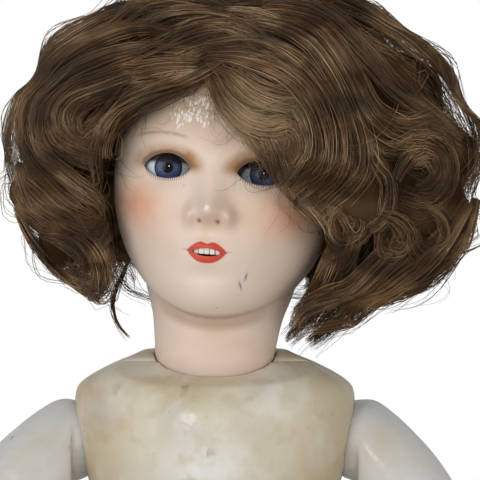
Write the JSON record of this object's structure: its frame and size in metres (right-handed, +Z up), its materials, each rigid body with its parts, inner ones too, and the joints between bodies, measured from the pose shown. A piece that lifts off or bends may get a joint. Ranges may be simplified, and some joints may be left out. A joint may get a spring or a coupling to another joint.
{
  "type": "papier-mache doll",
  "caption": "Antique jointed toy doll, seated, with a turning socket head, sleeping glass eyes, open mouth and wavy wig, and strung limbs that bend at shoulder, elbow, hip and knee.",
  "frame": {"origin": "on the floor, on the flat seat under the middle of the torso", "axes": "+Z up, the doll faces -Y with its legs stretched forward, and its left side is +X"},
  "size_m": [0.296, 0.2717, 0.3269],
  "materials": {
    "face": "painted and varnished",
    "body": "yellowed varnish",
    "limb": "painted and varnished",
    "hair": "brown hair",
    "gauze": "open weave",
    "card": "raw",
    "glass": "blown glass",
    "lead": "dull",
    "wire": "dull",
    "teeth": "glazed",
    "wood": "painted",
    "elastic": "braided"
  },
  "bodies": {
    "torso": {"torso_front": "body", "torso_back": "body", "arm_elastic": "elastic", "leg_elastic": "elastic"},
    "neck_fitting": {"neck_button": "wood", "neck_hook": "wire"},
    "head": {"head_shell": "face", "crown_pate": "card", "wig_cap": "gauze", "wig_hair": "hair", "upper_teeth": "teeth"},
    "eyes": {"left_eye": "glass", "right_eye": "glass", "eye_bridge": "wire", "eye_weight": "lead"},
    "left_upper_arm": {"left_upper_arm": "limb", "left_shoulder_pin": "wire", "left_upper_arm_elastic": "elastic"},
    "left_elbow_ball": {"left_elbow_ball": "wood"},
    "left_forearm": {"left_forearm": "limb", "left_forearm_elastic": "elastic"},
    "left_hand": {"left_hand": "limb"},
    "left_thigh": {"left_thigh": "limb", "left_hip_pin": "wire", "left_thigh_elastic": "elastic"},
    "left_knee_ball": {"left_knee_ball": "wood"},
    "left_lower_leg": {"left_lower_leg": "limb", "left_shin_elastic": "elastic"},
    "right_upper_arm": {"right_upper_arm": "limb", "right_shoulder_pin": "wire", "right_upper_arm_elastic": "elastic"},
    "right_elbow_ball": {"right_elbow_ball": "wood"},
    "right_forearm": {"right_forearm": "limb", "right_forearm_elastic": "elastic"},
    "right_hand": {"right_hand": "limb"},
    "right_thigh": {"right_thigh": "limb", "right_hip_pin": "wire", "right_thigh_elastic": "elastic"},
    "right_knee_ball": {"right_knee_ball": "wood"},
    "right_lower_leg": {"right_lower_leg": "limb", "right_shin_elastic": "elastic"}
  },
  "joints": [
    {"name": "head_nod", "type": "hinge", "parent": "torso", "child": "neck_fitting", "pos_m": [0, 0, 0.165], "axis": [1, 0, 0], "range_deg": [-8, 10]},
    {"name": "head_turn", "type": "hinge", "parent": "neck_fitting", "child": "head", "pos_m": [0, 0, 0.165], "axis": [0.0785, 0, 0.9969], "range_deg": [-80, 80]},
    {"name": "eyes_close", "type": "hinge", "parent": "head", "child": "eyes", "pos_m": [0.00198, -0.03502, 0.24108], "axis": [0.9905, -0.1132, -0.0779], "range_deg": [0, 62]},
    {"name": "left_shoulder_swing", "type": "hinge", "parent": "torso", "child": "left_upper_arm", "pos_m": [0.0645, 0.004, 0.124], "axis": [1, 0, 0], "range_deg": [-96, 34]},
    {"name": "left_elbow_bend", "type": "hinge", "parent": "left_upper_arm", "child": "left_elbow_ball", "pos_m": [0.10883, 0.00004, 0.0674], "axis": [0.788, 0.043, 0.6142], "range_deg": [-12, 60]},
    {"name": "left_forearm_twist", "type": "hinge", "parent": "left_elbow_ball", "child": "left_forearm", "pos_m": [0.10883, 0.00004, 0.0674], "axis": [-0.3078, 0.8914, 0.3326], "range_deg": [-60, 60]},
    {"name": "left_wrist_turn", "type": "hinge", "parent": "left_forearm", "child": "left_hand", "pos_m": [0.12853, -0.05701, 0.04611], "axis": [-0.3078, 0.8914, 0.3326], "range_deg": [-90, 90]},
    {"name": "left_hip_swing", "type": "hinge", "parent": "torso", "child": "left_thigh", "pos_m": [0.029, -0.004, 0.0236], "axis": [1, 0, 0], "range_deg": [0, 88]},
    {"name": "left_knee_bend", "type": "hinge", "parent": "left_thigh", "child": "left_knee_ball", "pos_m": [0.03736, -0.09956, 0.01991], "axis": [0.9962, 0.0872, 0], "range_deg": [0, 70]},
    {"name": "left_shin_twist", "type": "hinge", "parent": "left_knee_ball", "child": "left_lower_leg", "pos_m": [0.03736, -0.09956, 0.01991], "axis": [-0.0871, 0.9961, 0.014], "range_deg": [-40, 40]},
    {"name": "right_shoulder_swing", "type": "hinge", "parent": "torso", "child": "right_upper_arm", "pos_m": [-0.0645, 0.004, 0.124], "axis": [1, 0, 0], "range_deg": [-66, 64]},
    {"name": "right_elbow_bend", "type": "hinge", "parent": "right_upper_arm", "child": "right_elbow_ball", "pos_m": [-0.10883, -0.02773, 0.07696], "axis": [0.788, -0.3443, -0.5104], "range_deg": [-12, 60]},
    {"name": "right_forearm_twist", "type": "hinge", "parent": "right_elbow_ball", "child": "right_forearm", "pos_m": [-0.10883, -0.02773, 0.07696], "axis": [-0.3078, -0.9383, 0.1576], "range_deg": [-60, 60]},
    {"name": "right_wrist_turn", "type": "hinge", "parent": "right_forearm", "child": "right_hand", "pos_m": [-0.12853, -0.08778, 0.08705], "axis": [-0.3078, -0.9383, 0.1576], "range_deg": [-90, 90]},
    {"name": "right_hip_swing", "type": "hinge", "parent": "torso", "child": "right_thigh", "pos_m": [-0.029, -0.004, 0.0236], "axis": [1, 0, 0], "range_deg": [0, 88]},
    {"name": "right_knee_bend", "type": "hinge", "parent": "right_thigh", "child": "right_knee_ball", "pos_m": [-0.03736, -0.09956, 0.01991], "axis": [0.9962, -0.0872, 0], "range_deg": [0, 70]},
    {"name": "right_shin_twist", "type": "hinge", "parent": "right_knee_ball", "child": "right_lower_leg", "pos_m": [-0.03736, -0.09956, 0.01991], "axis": [-0.0871, -0.9961, -0.014], "range_deg": [-40, 40]}
  ]
}
